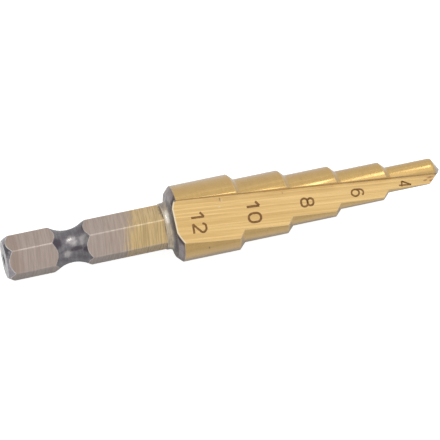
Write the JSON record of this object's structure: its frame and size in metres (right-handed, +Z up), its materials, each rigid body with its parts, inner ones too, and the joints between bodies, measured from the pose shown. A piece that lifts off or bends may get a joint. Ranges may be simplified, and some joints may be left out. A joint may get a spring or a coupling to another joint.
{
  "type": "step drill",
  "caption": "Stepped drill on a hexagonal shank with a detent groove; straight flutes cut back the round steps, which end in relieved shoulders and a drill point.",
  "frame": {"origin": "on the surface the tool lies on, under the middle of its bounding box", "axes": "+X along the axis from the shank to the point, +Z up out of the upper flute, +Y to the side"},
  "size_m": [0.07, 0.012, 0.011],
  "materials": {
    "coated_steel": "ground high-speed steel, gold titanium nitride on the cutting body, bare steel shank"
  },
  "bodies": {
    "root": {"step_drill": "coated_steel"}
  },
  "joints": []
}
